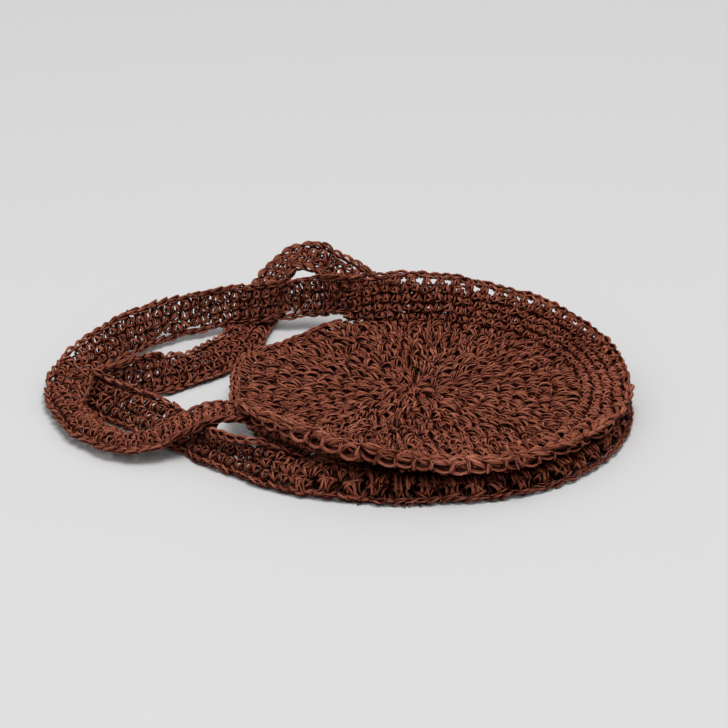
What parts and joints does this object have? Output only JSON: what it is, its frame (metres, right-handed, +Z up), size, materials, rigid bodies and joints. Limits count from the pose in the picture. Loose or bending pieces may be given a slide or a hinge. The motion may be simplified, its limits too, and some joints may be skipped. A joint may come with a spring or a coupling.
{
  "type": "crocheted circle bag",
  "caption": "Round shoulder bag crocheted in brown paper raffia, lying on its side, with disc panels, side bands and loop handles across its open mouth.",
  "frame": {"origin": "middle of the lower disc's underside, on the surface that the bag lies on", "axes": "+X towards the closed bottom of the bag, the mouth and the handles at -X, +Z up"},
  "size_m": [0.4121, 0.306, 0.0521],
  "materials": {
    "raffia": "crocheted paper raffia, rust brown, satin strands"
  },
  "bodies": {
    "lower_panel": {"lower_disc": "raffia", "lower_base_chain": "raffia", "lower_side_band": "raffia"},
    "upper_panel": {"upper_disc": "raffia", "upper_side_band": "raffia", "rim_seam": "raffia"},
    "upper_handle": {"upper_handle_strap": "raffia", "upper_handle_inner_chain": "raffia", "upper_handle_outer_chain": "raffia"},
    "lower_handle": {"lower_handle_strap": "raffia", "lower_handle_inner_chain": "raffia", "lower_handle_outer_chain": "raffia"}
  },
  "joints": [
    {"name": "mouth_open", "type": "hinge", "parent": "lower_panel", "child": "upper_panel", "pos_m": [0.1292, 0, 0.01725], "axis": [0, 1, 0], "range_deg": [0, 10]},
    {"name": "upper_handle_lift", "type": "hinge", "parent": "upper_panel", "child": "upper_handle", "pos_m": [-0.13371, -0.06918, 0.02938], "axis": [0.3865, 0.9196, 0.0705], "range_deg": [0, 90]},
    {"name": "lower_handle_drop", "type": "hinge", "parent": "lower_panel", "child": "lower_handle", "pos_m": [-0.05686, -0.12771, 0.0006], "axis": [0.0523, 0.9983, 0.0245], "range_deg": [-90, 0]}
  ]
}
